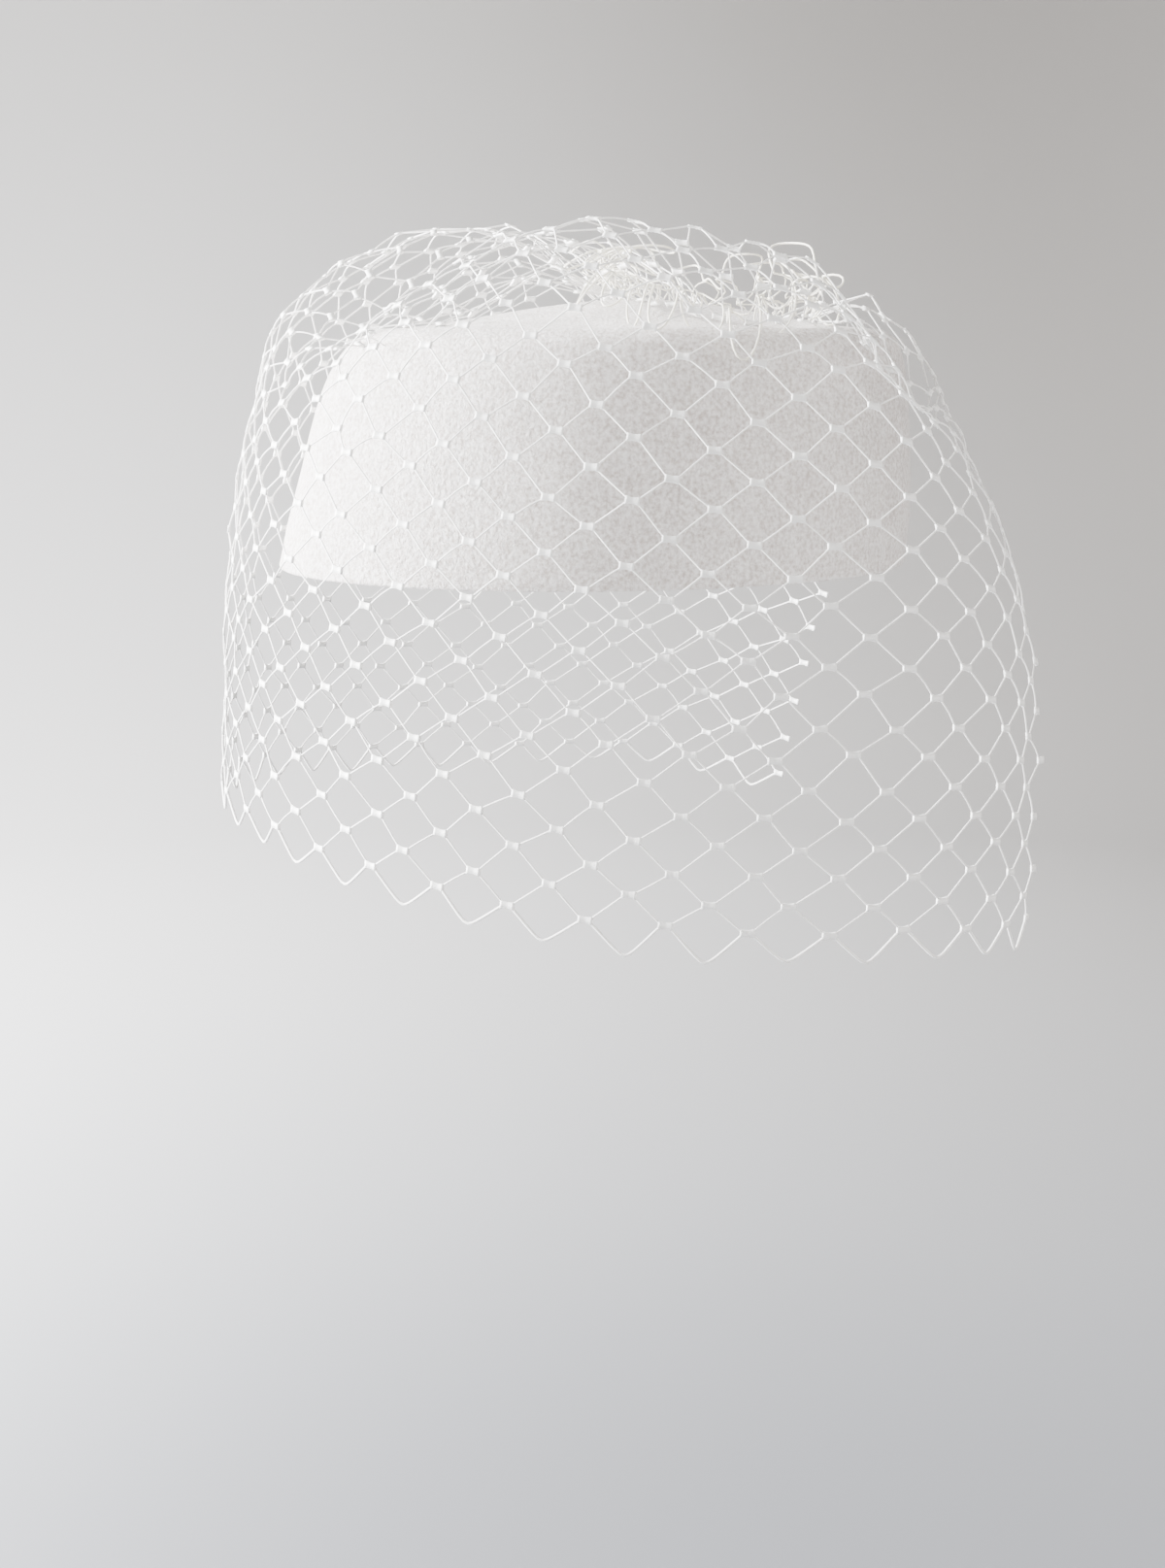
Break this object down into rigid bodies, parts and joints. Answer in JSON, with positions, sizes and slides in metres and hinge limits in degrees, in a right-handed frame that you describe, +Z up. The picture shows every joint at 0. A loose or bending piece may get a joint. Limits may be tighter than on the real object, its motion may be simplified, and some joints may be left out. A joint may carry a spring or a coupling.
{
  "type": "pillbox hat",
  "caption": "Felt pillbox hat in its worn form, with a gathered net veil that puffs over the crown, hangs round the face and sides and is open at the back",
  "frame": {"origin": "centre of the head opening, in the plane of the crown's lower edge, where a head holds the hat", "axes": "+Z up, -Y the front of the hat, +X the wearer's left"},
  "size_m": [0.2958, 0.2305, 0.2057],
  "materials": {
    "felt": "matt white wool felt with a short brushed nap",
    "net": "white knotted diamond netting, slightly glossy thread",
    "ruffle_net": "ivory white netting gathered into folds"
  },
  "bodies": {
    "root": {"crown": "felt", "veil": "net", "ruffle": "ruffle_net"}
  },
  "joints": []
}
